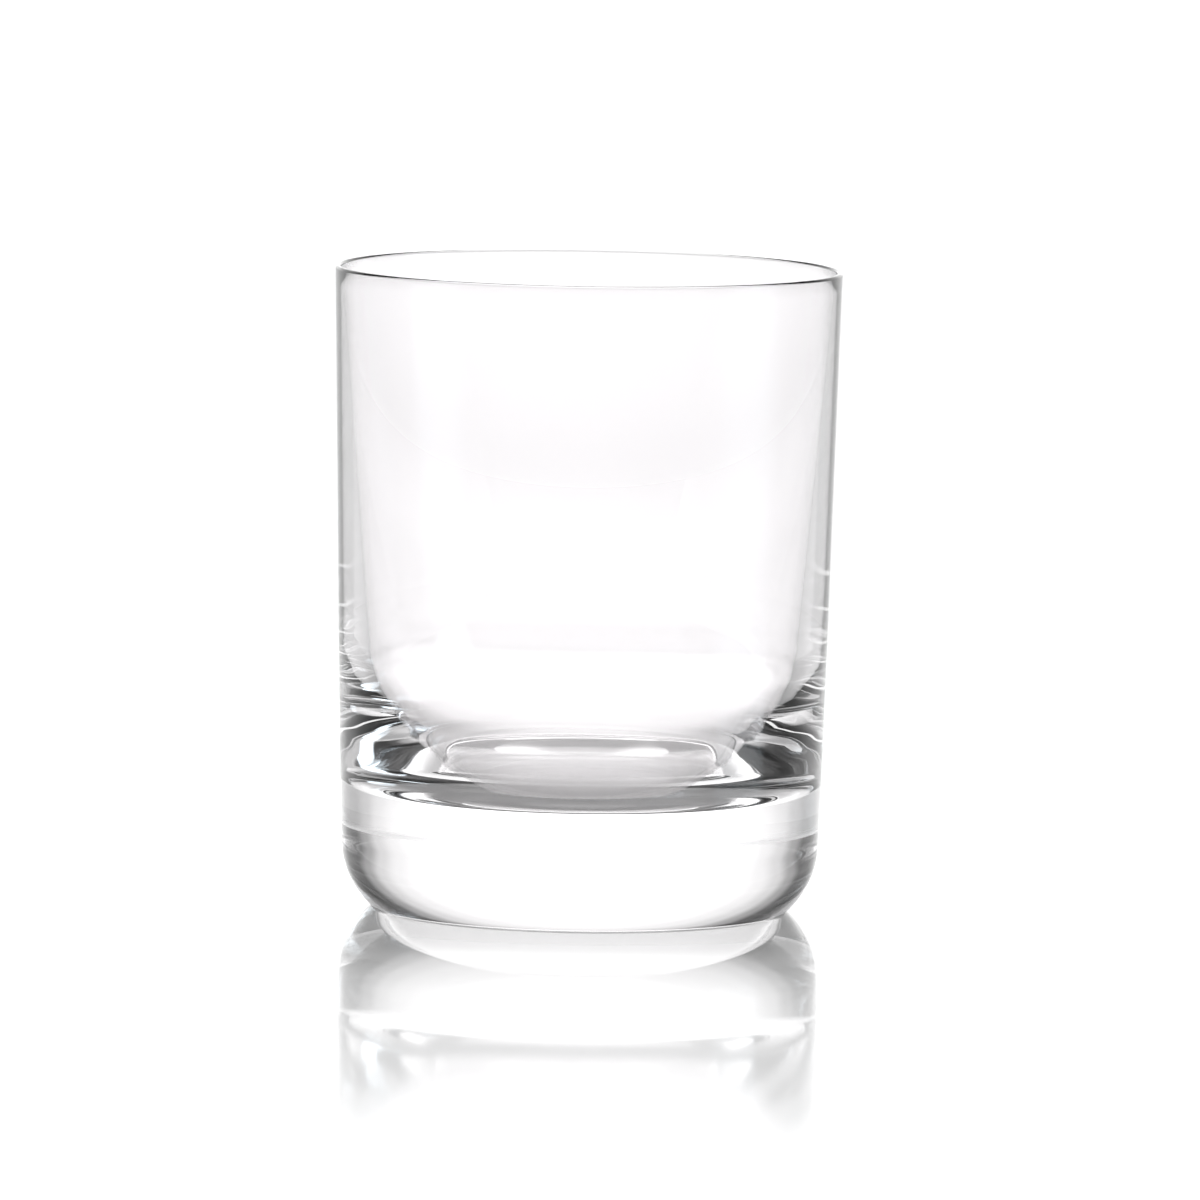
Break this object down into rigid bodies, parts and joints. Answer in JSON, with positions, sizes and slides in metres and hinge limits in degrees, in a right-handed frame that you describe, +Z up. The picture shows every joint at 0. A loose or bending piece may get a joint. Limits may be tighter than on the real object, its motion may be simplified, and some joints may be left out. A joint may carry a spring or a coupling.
{
  "type": "whiskey tumbler",
  "caption": "Clear drinking tumbler: slightly tapered round wall, thin rounded rim, heavy solid base with a rounded heel and a hollow under the foot.",
  "frame": {"origin": "centre of the foot, on the surface that the glass stands on", "axes": "+Z up along the axis of the glass, towards the rim; X and Y lie in the standing surface"},
  "size_m": [0.075, 0.075, 0.095],
  "materials": {
    "clear_glass": "clear, fire-polished"
  },
  "bodies": {
    "root": {"tumbler": "clear_glass"}
  },
  "joints": []
}
